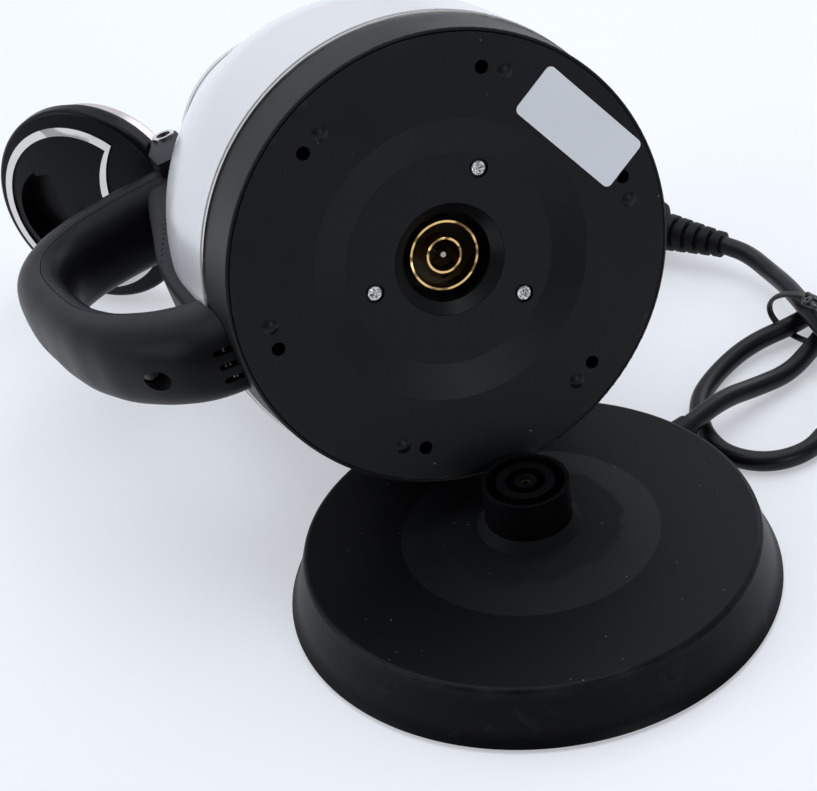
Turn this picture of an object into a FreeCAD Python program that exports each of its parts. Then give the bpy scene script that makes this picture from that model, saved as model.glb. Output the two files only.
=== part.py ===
import FreeCAD, Part
import math
import os
from FreeCAD import Matrix, Vector

# Electric kettle with a gooseneck spout, lying against its power base with the lid swung open.
# Row frame: origin under the middle of the base, Z up, the kettle's axis leans in the YZ plane.
# The kettle is drawn standing up in its own frame (x to the spout, z up) and is then laid down.
# All sizes are millimetres.

# Power base
BASE_FOOT_R = 80.0
BASE_CREASE_R = 73.7
BASE_H = 19.8
BASE_GROUND = 1.5
BASE_WALL = 2.2
FLARE_R = 77.4
FLARE_Z = 6.5
CREASE_ROUND = 1.3
DISH_R = 41.8
DISH_RISE = 1.3
COLLAR_R = 16.9
COLLAR_RISE = 4.4
COLLAR_LIP = 3.6
COVER_T = 2.0
FOOT_PAD_R = 6.5
FOOT_RING_R = 64.0
FOOT_COUNT = 4
BASE_SCREW_RING_R = 52.0
BASE_SCREW_COUNT = 3
BASE_BOSS_R = 4.2

# Connector post of the base and its contacts
POST_R = 14.0
POST_TOP = 41.2
POST_RIM = 1.4
POST_MID_OUT_R = 9.4
POST_MID_IN_R = 6.4
POST_CORE_R = 3.65
POST_GROOVE_DEPTH = 15.0
POST_FLANGE_R = 20.0
POST_FLANGE_T = 2.4
POST_FOOT_Z = 6.0
CONTACT_T = 0.6
CONTACT_H = 6.0
EARTH_TUBE_R = 1.7
EARTH_BORE_R = 1.15

# Kettle: skirt, bottom plate, rim ring
DISC_R = 73.0
SKIRT_TOP_R = 74.1
SKIRT_H = 21.0
SKIRT_WALL = 3.1
SKIRT_EDGE = 0.8
PLATE_T = 2.2
PLATE_SEAM = 1.2
RECESS_OUT_R = 45.2
RECESS_IN_R = 34.1
RECESS_DEPTH = 2.6
PLATE_HOLE_R = 2.2
PLATE_HOLE_RING_R = 61.1
PLATE_HOLE_COUNT = 6
PLATE_HOLE_TURN = -0.2
NUB_R = 2.6
NUB_H = 0.9
NUB_TURN = 7.3
RIM_R = 74.6
RIM_H = 2.4
LABEL_L = 42.0
LABEL_W = 18.0
LABEL_T = 0.2
LABEL_X = 53.0
LABEL_Y = -21.6
LABEL_TURN = 61.8
LABEL_CORNER = 2.0
PLATE_SCREW_HEAD_R = 2.2
PLATE_SCREW_POCKET_R = 3.2
PLATE_SCREW_POCKET = 1.2
BOTTOM_SCREWS = ((18.9, -23.2), (-26.2, -1.1), (18.4, 21.4))

# Kettle: socket that drops over the post
SOCKET_CHAMFER_R = 18.05
SOCKET_CLEAR = 0.5
SOCKET_WALL = 2.5
SOCKET_CHAMFER = 3.0
RING_OUT_R = 11.0
RING_IN_R = 5.5
RING_T = 0.7
RING_TIP_Z = 8.0
PIN_R = 0.9

# Kettle: shell, pot, neck
WALL_R = 74.9
WALL_TOP_Z = 50.0
TAPER = 0.31
SHELL_TOP_Z = 186.4
SHOULDER_LEN = 48.0
SHELL_T = 1.6
POT_GAP = 1.6
POT_T = 0.8
POT_TOP_Z = 178.0
HEATER_Z = 27.0
HEATER_T = 1.4
LEDGE_W = 3.0
ELEMENT_RING_R = 50.0
ELEMENT_R = 3.3
NECK_BORE_R = 37.6

# Kettle: gooseneck spout, centre line in its own plane as (x, z, outer radius)
SPOUT_LINE = (
    (56.0, 66.0, 11.0),
    (73.0, 77.0, 10.6),
    (81.0, 92.0, 9.2),
    (81.0, 116.0, 8.2),
    (76.0, 142.0, 7.4),
    (75.0, 164.0, 6.8),
    (80.5, 180.5, 6.2),
    (90.5, 187.5, 5.8),
)
SPOUT_T = 1.0
SPOUT_COLLAR_W = 4.0
SPOUT_COLLAR_T = 3.0

# Handle, centre line in the plane y = 0 as (x, z, half thickness, half width)
HANDLE_LINE = (
    (-60.0, 21.5, 17.5, 14.6),
    (-78.0, 25.5, 18.5, 14.4),
    (-92.0, 38.0, 14.0, 14.2),
    (-102.5, 56.0, 10.4, 14.0),
    (-108.3, 76.0, 9.0, 13.8),
    (-111.0, 100.0, 8.9, 13.7),
    (-111.8, 124.0, 9.3, 14.0),
    (-107.5, 144.0, 10.2, 14.4),
    (-96.5, 158.0, 11.4, 14.9),
    (-80.0, 165.5, 12.2, 15.3),
    (-62.0, 168.0, 12.0, 15.6),
    (-38.0, 169.5, 11.0, 15.8),
)
HANDLE_WALL = 2.4
HANDLE_SQUARE = 2.5
HANDLE_COVER_DEPTH = 7.0
HANDLE_SEAM_GAP = 0.25
HANDLE_POCKET_X = -97.0
HANDLE_POCKET_R = 3.5
HANDLE_POCKET_Z = 33.0
HANDLE_SCREW_HEAD_R = 3.0
HANDLE_SCREW_R = 1.7
VENT_YS = (-4.8, 0.0, 4.8)
VENT_L = 4.4
VENT_W = 2.0
SPINE_HALF_W = 13.0
SPINE_ROUND = 4.0

# Lid and its hinge
LID_Z = 195.0
LID_R = 40.9
LID_OPEN = 134.3
LID_RIM_DOWN = 1.5
LID_RIM_UP = 1.6
LID_SHOULDER = 2.4
LID_DOME = 8.5
LID_PLUG_R = 35.8
LID_PLUG_DOWN = 5.0
LINER_R = 36.8
LINER_T = 0.6
LINER_DEPTH = 13.0
SEAL_R = 39.6
SEAL_T = 3.0
TRIM_R = 35.0
TRIM_W = 3.2
TRIM_T = 0.8
TRIM_SHIFT = 2.0
TRIM_CORNER_X = -24.0
TRIM_REAR_X = -15.0
GRIP_CHORD = 16.0
GRIP_REACH = 30.5
GRIP_HALF = 19.0
GRIP_FLOOR = 2.5
BAR_W = 2.8
BAR_H = 6.2
BAR_SETBACK = 3.4
HINGE_X = -42.0
HINGE_Z = 191.8
HINGE_PIN_R = 1.5
BARREL_R = 3.6
LUG_HALF = 15.5
EAR_T = 4.0
EAR_R = 5.0

# Switch lever on the lower arm of the handle
SWITCH_X = -84.0
SWITCH_Z = 41.0
SWITCH_HALF_W = 7.0
SWITCH_REACH = 17.0
SWITCH_SWING = 14.0
SWITCH_PIN_R = 1.2

# How the kettle lies
ROLL = 9.8
KETTLE_X = -4.3
POST_GAP = 1.6
TOUCH = 0.3
LID_FLOOR_GAP = 3.0

# Running and fitting gaps
FIT = 0.15
RUN = 0.3
LEAN_LOW = 6.0
LEAN_HIGH = 24.0

# Cord, plug and tie
CORD_R = 3.5
GLAND_ANGLE = 26.0
GLAND_Z = 11.5
GLAND_R = 5.0
GLAND_TIP_R = 4.3
GLAND_IN = 12.0
GLAND_OUT = 6.5
PLUG_L = 36.0
PLUG_W = 33.0
PLUG_H = 24.0
PLUG_NECK_W = 20.0
PLUG_NECK_H = 17.0
PLUG_ROUND = 6.0
RELIEF_L = 28.0
RELIEF_R = 7.6
RELIEF_TIP_R = 5.0
RELIEF_RIBS = 5
PLUG_AXIS_Z = 12.3
PLUG_TURN = 125.0
PLUG_PIN_R = 2.4
PLUG_PIN_L = 19.0
PLUG_PIN_SPACING = 19.0
TIE_R = 0.8
TIE_X = 142.0
TIE_Y = 73.7
TIE_Z = 10.8
TIE_HALF_W = 15.8
TIE_HALF_H = 9.9
TIE_TURN = 120.0
TIE_TAIL = 14.0

# The lead lies on the floor, is looped twice beside the base, and ends at the plug.
CORD_ROUTE = (
    (92.0, 44.6, 11.5),
    (109.0, 50.5, 7.0),
    (124.0, 54.5, 5.2),
    (137.5, 62.5, 6.3),
    (150.5, 72.0, 6.3),
    (170.0, 79.5, 4.2),
    (192.4, 75.9, 3.7),
    (208.0, 59.2, 3.7),
    (210.0, 36.5, 3.7),
    (197.5, 17.4, 3.7),
    (176.0, 10.0, 3.7),
    (155.5, 15.5, 3.7),
    (137.0, 23.0, 3.7),
    (121.0, 20.8, 3.7),
    (108.2, 12.2, 3.7),
    (93.2, 13.0, 3.7),
    (82.7, 23.5, 3.7),
    (81.3, 38.5, 3.7),
    (88.0, 57.0, 3.7),
    (103.0, 69.8, 3.7),
    (121.0, 77.8, 5.2),
    (141.0, 79.0, 6.4),
    (158.5, 86.5, 6.0),
    (177.0, 92.8, 3.7),
    (200.0, 88.6, 3.7),
    (218.5, 73.0, 3.7),
    (226.8, 50.0, 3.7),
    (222.6, 26.0, 3.7),
    (207.0, 7.5, 3.7),
    (184.0, -0.8, 3.7),
    (160.0, 3.4, 6.5),
    (146.0, 17.0, 11.8),
    (140.0, 35.0, 12.2),
    (140.8, 54.0, 13.6),
    (142.4, 74.0, 14.4),
    (145.2, 93.0, 12.6),
    (146.6, 111.0, 9.5),
    (144.4, 123.6, 11.2),
)

AXIS = Vector(0, 0, 1)
ORIGIN = Vector(0, 0, 0)
NODES = {}


def wire_of(start, steps):
    """Closed wire in the plane y = 0; a step is a point, or a pair for an arc through the first."""
    here = Vector(start[0], 0, start[1])
    first = here
    edges = []
    for step in steps:
        if isinstance(step[0], tuple):
            via = Vector(step[0][0], 0, step[0][1])
            end = Vector(step[1][0], 0, step[1][1])
            edges.append(Part.Arc(here, via, end).toShape())
        else:
            end = Vector(step[0], 0, step[1])
            edges.append(Part.LineSegment(here, end).toShape())
        here = end
    if (here - first).Length > 1e-7:
        edges.append(Part.LineSegment(here, first).toShape())
    return Part.Wire(edges)


def turned(start, *steps):
    """Solid of revolution about Z from an outline in (r, z)."""
    return Part.Face(wire_of(start, steps)).revolve(ORIGIN, AXIS, 360)


def tube(r_out, r_in, low, high):
    """Upright ring or sleeve."""
    return turned((r_in, low), (r_out, low), (r_out, high), (r_in, high))


def rod(radius, start, end):
    """Round bar between two points."""
    way = Vector(*end) - Vector(*start)
    return Part.makeCylinder(radius, way.Length, Vector(*start), way)


def cross_rod(radius, x, z, half):
    """Round bar along Y, centred on the plane y = 0."""
    return Part.makeCylinder(radius, 2 * half, Vector(x, -half, z), Vector(0, 1, 0))


def slab(x0, x1, y0, y1, z0, z1):
    """Box between two corners."""
    return Part.makeBox(x1 - x0, y1 - y0, z1 - z0, Vector(x0, y0, z0))


def plate_y(wire, y0, y1):
    """Outline in the plane y = 0 pulled out from y0 to y1."""
    face = Part.Face(wire)
    face.translate(Vector(0, y0, 0))
    return face.extrude(Vector(0, y1 - y0, 0))


def around(count, ring_r, turn=0.0):
    """Evenly spaced places on a ring, as (x, y)."""
    spots = []
    for k in range(count):
        a = math.radians(turn + 360.0 * k / count)
        spots.append((ring_r * math.cos(a), ring_r * math.sin(a)))
    return spots


def group(shapes):
    return Part.makeCompound(shapes)


def keep(name, shape, place=None):
    """Store a finished piece, laid in place."""
    NODES[name] = shape if place is None else shape.transformed(place, True)


# Power base: top shell with its dished plate, flared wall, collar and screw bosses
def dish_top(r):
    """Height of the plate's upper face between the dish's edge and the collar."""
    return BASE_H + DISH_RISE + (DISH_R - r) / (DISH_R - COLLAR_R) * (COLLAR_RISE - DISH_RISE)


POST_HOLE_R = POST_R + FIT
SEAT_Z = dish_top(POST_FLANGE_R) - BASE_WALL - 0.6
COVER_TOP = BASE_GROUND + COVER_T
COVER_R = BASE_FOOT_R - BASE_WALL - (BASE_FOOT_R - FLARE_R) - FIT
COLLAR_TOP = BASE_H + COLLAR_RISE + COLLAR_LIP
gland_dir = Vector(math.cos(math.radians(GLAND_ANGLE)), math.sin(math.radians(GLAND_ANGLE)), 0)
wall_slope = (FLARE_R - BASE_CREASE_R) / (BASE_H - FLARE_Z)
GLAND_WALL_R = FLARE_R - (GLAND_Z - FLARE_Z) * wall_slope


def base_top_shell():
    outside = BASE_CREASE_R - CREASE_ROUND
    crease = (BASE_CREASE_R - 0.3 * CREASE_ROUND, BASE_H - 0.3 * CREASE_ROUND)
    below = (BASE_CREASE_R + CREASE_ROUND * wall_slope, BASE_H - CREASE_ROUND)
    flare = (FLARE_R + 0.35 * (BASE_FOOT_R - FLARE_R), (FLARE_Z + BASE_GROUND) / 2)
    shell = turned(
        (POST_HOLE_R, COLLAR_TOP), (COLLAR_R, BASE_H + COLLAR_RISE), (DISH_R, BASE_H + DISH_RISE),
        (outside, BASE_H), (crease, below), (FLARE_R, FLARE_Z), (flare, (BASE_FOOT_R, BASE_GROUND)),
        (BASE_FOOT_R - BASE_WALL, BASE_GROUND), (FLARE_R - BASE_WALL, FLARE_Z),
        (BASE_CREASE_R - BASE_WALL, BASE_H - BASE_WALL), (DISH_R, BASE_H + DISH_RISE - BASE_WALL),
        (POST_FLANGE_R + FIT, SEAT_Z), (POST_HOLE_R, SEAT_Z))
    for x, y in around(BASE_SCREW_COUNT, BASE_SCREW_RING_R, 90.0):
        boss = rod(BASE_BOSS_R, (x, y, COVER_TOP), (x, y, BASE_H - 0.5 * BASE_WALL))
        shell = shell.fuse(boss)
        shell = shell.cut(rod(SCREW_R + 0.05, (x, y, COVER_TOP), (x, y, COVER_TOP + SCREW_L)))
    hole = Part.makeCylinder(GLAND_R + FIT, 3 * GLAND_IN, gland_dir * (GLAND_WALL_R - 2 * GLAND_IN)
                             + AXIS * GLAND_Z, gland_dir)
    return shell.cut(hole).removeSplitter()


SCREW_R = 1.4
SCREW_HEAD_R = 3.0
SCREW_HEAD_H = 1.1
SCREW_L = 8.0
keep("base_top_shell", base_top_shell())


def cross_head_screw(head_r, head_h, shank_r, length):
    """Screw with its head down and a cross cut in it, standing on z = 0."""
    screw = Part.makeCylinder(head_r, head_h).fuse(Part.makeCylinder(shank_r, length + head_h))
    slot = 0.35 * head_r
    deep = 0.6 * head_h
    for across, along in ((slot, 1.4 * head_r), (1.4 * head_r, slot)):
        screw = screw.cut(slab(-across / 2, across / 2, -along / 2, along / 2, 0, deep))
    return screw


def base_bottom_cover():
    cover = Part.makeCylinder(COVER_R, COVER_T, AXIS * BASE_GROUND)
    for x, y in around(BASE_SCREW_COUNT, BASE_SCREW_RING_R, 90.0):
        cover = cover.cut(rod(SCREW_R + FIT, (x, y, BASE_GROUND), (x, y, COVER_TOP)))
        cover = cover.cut(rod(SCREW_HEAD_R + FIT, (x, y, BASE_GROUND), (x, y, BASE_GROUND + SCREW_HEAD_H)))
    return cover


def base_screws():
    screws = []
    for x, y in around(BASE_SCREW_COUNT, BASE_SCREW_RING_R, 90.0):
        screw = cross_head_screw(SCREW_HEAD_R, SCREW_HEAD_H, SCREW_R, SCREW_L)
        screw.translate(Vector(x, y, BASE_GROUND))
        screws.append(screw)
    return group(screws)


def base_feet():
    pads = []
    for x, y in around(FOOT_COUNT, FOOT_RING_R, 45.0) + [(0.0, 0.0)]:
        pads.append(rod(FOOT_PAD_R, (x, y, 0), (x, y, BASE_GROUND)))
    return group(pads)


keep("base_bottom_cover", base_bottom_cover())
keep("base_screws", base_screws())
keep("base_feet", base_feet())


# Connector post: a ringed moulding with brass contacts down in its grooves
POST_FLOOR = POST_TOP - POST_GROOVE_DEPTH


def connector_post():
    post = Part.makeCylinder(POST_R, POST_TOP - POST_FOOT_Z, AXIS * POST_FOOT_Z)
    post = post.fuse(Part.makeCylinder(POST_FLANGE_R, POST_FLANGE_T, AXIS * (SEAT_Z - POST_FLANGE_T)))
    for r_out, r_in in ((POST_R - POST_RIM, POST_MID_OUT_R), (POST_MID_IN_R, POST_CORE_R)):
        post = post.cut(tube(r_out, r_in, POST_FLOOR, POST_TOP))
    post = post.cut(Part.makeCylinder(EARTH_TUBE_R, POST_GROOVE_DEPTH, AXIS * POST_FLOOR))
    return post.removeSplitter()


keep("connector_post", connector_post())
keep("post_live_contact", tube(POST_MID_OUT_R + FIT + CONTACT_T, POST_MID_OUT_R + FIT,
                               POST_FLOOR, POST_FLOOR + CONTACT_H))
keep("post_neutral_contact", tube(POST_CORE_R + FIT + CONTACT_T, POST_CORE_R + FIT,
                                  POST_FLOOR, POST_FLOOR + CONTACT_H))
keep("post_earth_contact", tube(EARTH_TUBE_R - 0.05, EARTH_BORE_R, POST_FLOOR, POST_TOP - 1.0))


# Cord gland in the wall of the base
def along_gland(r):
    return gland_dir * r + AXIS * GLAND_Z


def cord_gland():
    inner = GLAND_WALL_R - GLAND_IN
    gland = Part.makeCylinder(GLAND_R, GLAND_WALL_R - inner, along_gland(inner), gland_dir)
    gland = gland.fuse(Part.makeCylinder(GLAND_R + 0.8, 0.6 * GLAND_IN - BASE_WALL,
                                         along_gland(inner), gland_dir))
    tip = Part.makeCone(GLAND_R, GLAND_TIP_R, GLAND_OUT, along_gland(GLAND_WALL_R), gland_dir)
    return gland.fuse(tip).removeSplitter()


keep("cord_gland", cord_gland())


# Plug at the far end of the lead: moulded body, ribbed relief, two round pins
plug_dir = Vector(math.cos(math.radians(PLUG_TURN)), math.sin(math.radians(PLUG_TURN)), 0)
plug_side = AXIS.cross(plug_dir)
RELIEF_TIP = Vector(138.5, 132.5, PLUG_AXIS_Z)


def plug_point(reach):
    return RELIEF_TIP + plug_dir * reach


def plug_section(reach, width, height, corner):
    """Rounded rectangle square to the plug's axis."""
    half_w = width / 2 - corner
    half_h = height / 2 - corner
    centre = plug_point(reach)
    bend = corner * math.sqrt(0.5)
    edges = []
    corners = ((1, 1), (-1, 1), (-1, -1), (1, -1))

    def at(u, v):
        return centre + plug_side * u + AXIS * v

    for k in range(4):
        su, sv = corners[k]
        arc_in = at(su * half_w + su * corner, sv * half_h)
        arc_out = at(su * half_w, sv * half_h + sv * corner)
        if k % 2:
            arc_in, arc_out = arc_out, arc_in
        middle = at(su * (half_w + bend), sv * (half_h + bend))
        edges.append(Part.Arc(arc_in, middle, arc_out).toShape())
        nu, nv = corners[(k + 1) % 4]
        if k % 2:
            following = at(su * (half_w + corner), nv * half_h)
        else:
            following = at(nu * half_w, sv * (half_h + corner))
        edges.append(Part.LineSegment(arc_out, following).toShape())
    return Part.Wire(edges)


def plug_body():
    face_at = RELIEF_L + PLUG_L
    sections = (
        plug_section(RELIEF_L, PLUG_NECK_W, PLUG_NECK_H, PLUG_ROUND),
        plug_section(RELIEF_L + 0.45 * PLUG_L, PLUG_W, PLUG_H, PLUG_ROUND),
        plug_section(face_at, PLUG_W, PLUG_H, PLUG_ROUND),
    )
    return Part.makeLoft(list(sections), True, True)


def plug_relief():
    """Tapered sleeve with deep ribs, from the lead to the plug's neck."""
    step = RELIEF_L / (RELIEF_RIBS + 0.5)
    profile = [(0.0, 0.0), (RELIEF_TIP_R, 0.0)]
    for k in range(RELIEF_RIBS):
        near = RELIEF_TIP_R + (RELIEF_R - RELIEF_TIP_R) * (k + 0.2) / RELIEF_RIBS
        far = RELIEF_TIP_R + (RELIEF_R - RELIEF_TIP_R) * (k + 0.8) / RELIEF_RIBS
        deep = near - 1.3
        profile += [(near, (k + 0.55) * step), (deep, (k + 0.65) * step),
                    (deep, (k + 0.9) * step), (far, (k + 1.0) * step)]
    profile += [(RELIEF_R, RELIEF_L), (0.0, RELIEF_L)]
    sleeve = turned(profile[0], *profile[1:])
    to_axis = Matrix(plug_side.x, 0, plug_dir.x, RELIEF_TIP.x, plug_side.y, 0, plug_dir.y, RELIEF_TIP.y,
                     0, 1, 0, RELIEF_TIP.z, 0, 0, 0, 1)
    return sleeve.transformed(to_axis, True)


def plug_pins():
    pins = []
    for side in (-0.5, 0.5):
        foot = plug_point(RELIEF_L + PLUG_L) + plug_side * (side * PLUG_PIN_SPACING)
        pins.append(Part.makeCylinder(PLUG_PIN_R, PLUG_PIN_L, foot, plug_dir))
    return group(pins)


keep("plug_body", plug_body())
keep("plug_relief", plug_relief())
keep("plug_pins", plug_pins())


# Power cord: straight runs joined by tangent arcs, each as large as its runs allow
def cord_path(points):
    """Wire through the route's runs and arcs, with its length and its arc radii."""
    edges = []
    radii = []
    here = points[0]
    for before, corner, after in zip(points, points[1:], points[2:]):
        back = before - corner
        ahead = after - corner
        turn = math.pi - back.getAngle(ahead)
        trim = 0.45 * min(back.Length, ahead.Length)
        radii.append(trim / math.tan(turn / 2))
        back.normalize()
        ahead.normalize()
        start = corner + back * trim
        end = corner + ahead * trim
        bisector = back + ahead
        bisector.normalize()
        reach = radii[-1] / math.cos(turn / 2) - radii[-1]
        edges.append(Part.LineSegment(here, start).toShape())
        edges.append(Part.Arc(start, corner + bisector * reach, end).toShape())
        here = end
    edges.append(Part.LineSegment(here, points[-1]).toShape())
    return Part.Wire(edges), radii


CORD_START = along_gland(GLAND_WALL_R + GLAND_OUT)
cord_points = [CORD_START] + [Vector(*p) for p in CORD_ROUTE] + [RELIEF_TIP]
cord_wire, cord_radii = cord_path(cord_points)
cord_ring = Part.Wire(Part.makeCircle(CORD_R, CORD_START, cord_points[1] - cord_points[0]))
power_cord = cord_wire.makePipeShell([cord_ring], True, False)
section_volume = math.pi * CORD_R ** 2 * cord_wire.Length
print("cord length %.1f, tightest radius %.1f" % (cord_wire.Length, min(cord_radii)))
print("cord volume over section times length %.4f" % (power_cord.Volume / section_volume))
keep("power_cord", power_cord)


def cord_tie():
    """Wire ring round the three strands where they cross, with two twisted tails."""
    middle = Vector(TIE_X, TIE_Y, TIE_Z)
    a = math.radians(TIE_TURN)
    across = Vector(math.cos(a), math.sin(a), 0)
    through = AXIS.cross(across)
    ring = Part.Ellipse(middle + across * TIE_HALF_W, middle + AXIS * TIE_HALF_H, middle).toShape()
    start = middle + across * TIE_HALF_W
    profile = Part.Wire(Part.makeCircle(TIE_R, start, AXIS))
    loop = Part.Wire(ring).makePipeShell([profile], True, False)
    top = middle + AXIS * TIE_HALF_H
    for side in (-1, 1):
        way = across * side + through * 0.7 + AXIS * 0.25
        loop = loop.fuse(Part.makeCylinder(TIE_R, TIE_TAIL, top, way))
    return loop


keep("cord_tie", cord_tie())


# How the kettle lies: leaning on the base's crease with the open lid's edge just off the floor
def lid_edge_local(turn):
    """Point of the open lid's edge in the kettle's frame, by its angle round the lid."""
    a = math.radians(LID_OPEN)
    reach = LID_R * math.cos(turn) - HINGE_X
    rise = LID_Z - HINGE_Z
    x = HINGE_X + reach * math.cos(a) - rise * math.sin(a)
    z = HINGE_Z + reach * math.sin(a) + rise * math.cos(a)
    return Vector(x, LID_R * math.sin(turn), z)


def lay_kettle(lean):
    """Matrix that lays the standing kettle down, for an axis that falls by lean radians."""
    roll = math.radians(ROLL)
    cl, sl = math.cos(lean), math.sin(lean)
    cr, sr = math.cos(roll), math.sin(roll)
    crease_y = math.sqrt(BASE_CREASE_R ** 2 - KETTLE_X ** 2)
    centre_y = POST_R + POST_GAP + DISC_R * sl
    along = (crease_y - centre_y + WALL_R * sl) / cl
    centre_z = BASE_H + TOUCH + along * sl + WALL_R * cl
    return Matrix(cr, sr, 0, KETTLE_X, sr * sl, -cr * sl, cl, centre_y,
                  sr * cl, -cr * cl, -sl, centre_z, 0, 0, 0, 1)


def lid_lowest(lean):
    place = lay_kettle(lean)
    return min(place.multVec(lid_edge_local(math.radians(k))).z for k in range(0, 360, 3))


def solve_lean():
    low = math.radians(LEAN_LOW)
    high = math.radians(LEAN_HIGH)
    for _ in range(40):
        middle = (low + high) / 2
        if lid_lowest(middle) > LID_FLOOR_GAP:
            low = middle
        else:
            high = middle
    return (low + high) / 2


LEAN = solve_lean()
KETTLE = lay_kettle(LEAN)
print("kettle leans %.2f degrees" % math.degrees(LEAN))


def lid_turn(angle):
    """Matrix that swings the lid open by an angle about its hinge, in the kettle's frame."""
    swing = Matrix()
    swing.move(Vector(-HINGE_X, 0, -HINGE_Z))
    swing.rotateY(-math.radians(angle))
    swing.move(Vector(HINGE_X, 0, HINGE_Z))
    return swing


LID = KETTLE.multiply(lid_turn(LID_OPEN))


# Kettle's outer form, as a solid that other pieces are trimmed against
def taper_r(z):
    """Radius of the straight taper, which the shoulder's arc runs into."""
    return WALL_R - TAPER * (z - WALL_TOP_Z - SHOULDER_LEN / 2)


def shell_steps(inset, low, high):
    """Outline steps of the shell's side from low to high, moved in by inset."""
    slant = math.atan(TAPER)
    side = inset / math.cos(slant)
    turn_mid = slant / 2
    radius = SHOULDER_LEN / 2 / math.tan(slant / 2)
    mid_z = WALL_TOP_Z + radius * math.sin(turn_mid)
    mid_r = WALL_R - radius * (1 - math.cos(turn_mid))
    end_z = WALL_TOP_Z + radius * math.sin(slant)
    end_r = WALL_R - radius * (1 - math.cos(slant))
    middle = (mid_r - inset * math.cos(turn_mid), mid_z - inset * math.sin(turn_mid))
    end = (end_r - inset * math.cos(slant), end_z - inset * math.sin(slant))
    top_r = end_r - TAPER * (high - end_z) - side
    return [(WALL_R - inset, low), (WALL_R - inset, WALL_TOP_Z), (middle, end), (top_r, high)]


SHELL_LOW = SKIRT_H + RIM_H
SHELL_TOP_R = shell_steps(0, SHELL_LOW, SHELL_TOP_Z)[-1][0]
FULL = turned((0, 0), (DISC_R + FIT, 0), (SKIRT_TOP_R + FIT, SKIRT_H), (RIM_R + FIT, SKIRT_H),
              *shell_steps(-FIT, SHELL_LOW, SHELL_TOP_Z), (0, SHELL_TOP_Z))
POT_OUT = SHELL_T + POT_GAP


# Gooseneck spout: a bent, tapering tube welded to the pot and let through the shell
def spout_tube(inset):
    sections = []
    count = len(SPOUT_LINE)
    for k in range(count):
        x, z, radius = SPOUT_LINE[k]
        before = SPOUT_LINE[max(k - 1, 0)]
        after = SPOUT_LINE[min(k + 1, count - 1)]
        way = Vector(after[0] - before[0], 0, after[1] - before[1])
        sections.append(Part.Wire(Part.makeCircle(radius - inset, Vector(x, 0, z), way)))
    return Part.makeLoft(sections, True, False)


POT_FORM = turned((0, HEATER_Z), *shell_steps(POT_OUT, HEATER_Z, SHELL_TOP_Z), (0, SHELL_TOP_Z))
SPOUT_FULL = spout_tube(0.0)
SPOUT_BORE = spout_tube(SPOUT_T)
SPOUT_HOLE = spout_tube(-FIT)
keep("gooseneck_spout", SPOUT_FULL.cut(SPOUT_BORE).cut(POT_FORM), KETTLE)


def spout_collar():
    """Ring round the spout's root, seated on the shell."""
    near, far = SPOUT_LINE[0], SPOUT_LINE[1]
    root = Vector(near[0], 0, near[1])
    way = Vector(far[0] - near[0], 0, far[1] - near[1])
    reach = far[2] + SPOUT_COLLAR_W
    ring = Part.makeCylinder(reach, way.Length + SPOUT_COLLAR_T + 2.0, root, way)
    grown = turned((0, SHELL_LOW), *shell_steps(-SPOUT_COLLAR_T, SHELL_LOW, SHELL_TOP_Z), (0, SHELL_TOP_Z))
    return ring.common(grown).cut(FULL).cut(SPOUT_HOLE)


keep("spout_collar", spout_collar(), KETTLE)


# Skirt, bottom plate and steel rim ring
PLATE_R = DISC_R - PLATE_SEAM - FIT
POT_LOW_R = WALL_R - POT_OUT


def skirt():
    """Black skirt: outer wall, rebate for the bottom plate and the ledge that carries the pot."""
    inner = DISC_R - SKIRT_WALL
    ledge_out = POT_LOW_R
    return turned(
        (DISC_R - PLATE_SEAM, SKIRT_EDGE * 0.5), (DISC_R - SKIRT_EDGE, 0),
        ((DISC_R - 0.3 * SKIRT_EDGE, 0.3 * SKIRT_EDGE), (DISC_R, SKIRT_EDGE)),
        (SKIRT_TOP_R, SKIRT_H), (ledge_out, SKIRT_H), (ledge_out, HEATER_Z),
        (ledge_out - LEDGE_W, HEATER_Z), (ledge_out - LEDGE_W, SKIRT_H - 2.0), (inner, SKIRT_H - 4.0),
        (inner, PLATE_T), (DISC_R - PLATE_SEAM, PLATE_T))


def plate_spots():
    return around(PLATE_HOLE_COUNT, PLATE_HOLE_RING_R, PLATE_HOLE_TURN)


def bottom_plate():
    plate = turned(
        (SOCKET_CHAMFER_R + FIT, RECESS_DEPTH), (RECESS_IN_R, RECESS_DEPTH), (RECESS_OUT_R, 0),
        (PLATE_R, 0), (PLATE_R, PLATE_T), (RECESS_OUT_R + 0.8, PLATE_T),
        (RECESS_IN_R + 0.8, RECESS_DEPTH + PLATE_T), (SOCKET_CHAMFER_R + FIT, RECESS_DEPTH + PLATE_T))
    for x, y in plate_spots():
        plate = plate.cut(rod(PLATE_HOLE_R, (x, y, 0), (x, y, PLATE_T)))
    for x, y in BOTTOM_SCREWS:
        plate = plate.cut(rod(SCREW_R + FIT, (x, y, RECESS_DEPTH), (x, y, RECESS_DEPTH + PLATE_T)))
        plate = plate.cut(rod(PLATE_SCREW_POCKET_R, (x, y, RECESS_DEPTH), (x, y, RECESS_DEPTH + PLATE_SCREW_POCKET)))
    for x, y in around(PLATE_HOLE_COUNT, PLATE_HOLE_RING_R, PLATE_HOLE_TURN + NUB_TURN):
        ball_r = (NUB_R ** 2 + NUB_H ** 2) / (2 * NUB_H)
        nub = Part.makeSphere(ball_r, Vector(x, y, ball_r - NUB_H))
        nub = nub.common(slab(x - NUB_R, x + NUB_R, y - NUB_R, y + NUB_R, -NUB_H, 0.5 * PLATE_T))
        plate = plate.fuse(nub)
    return plate.removeSplitter()


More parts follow.
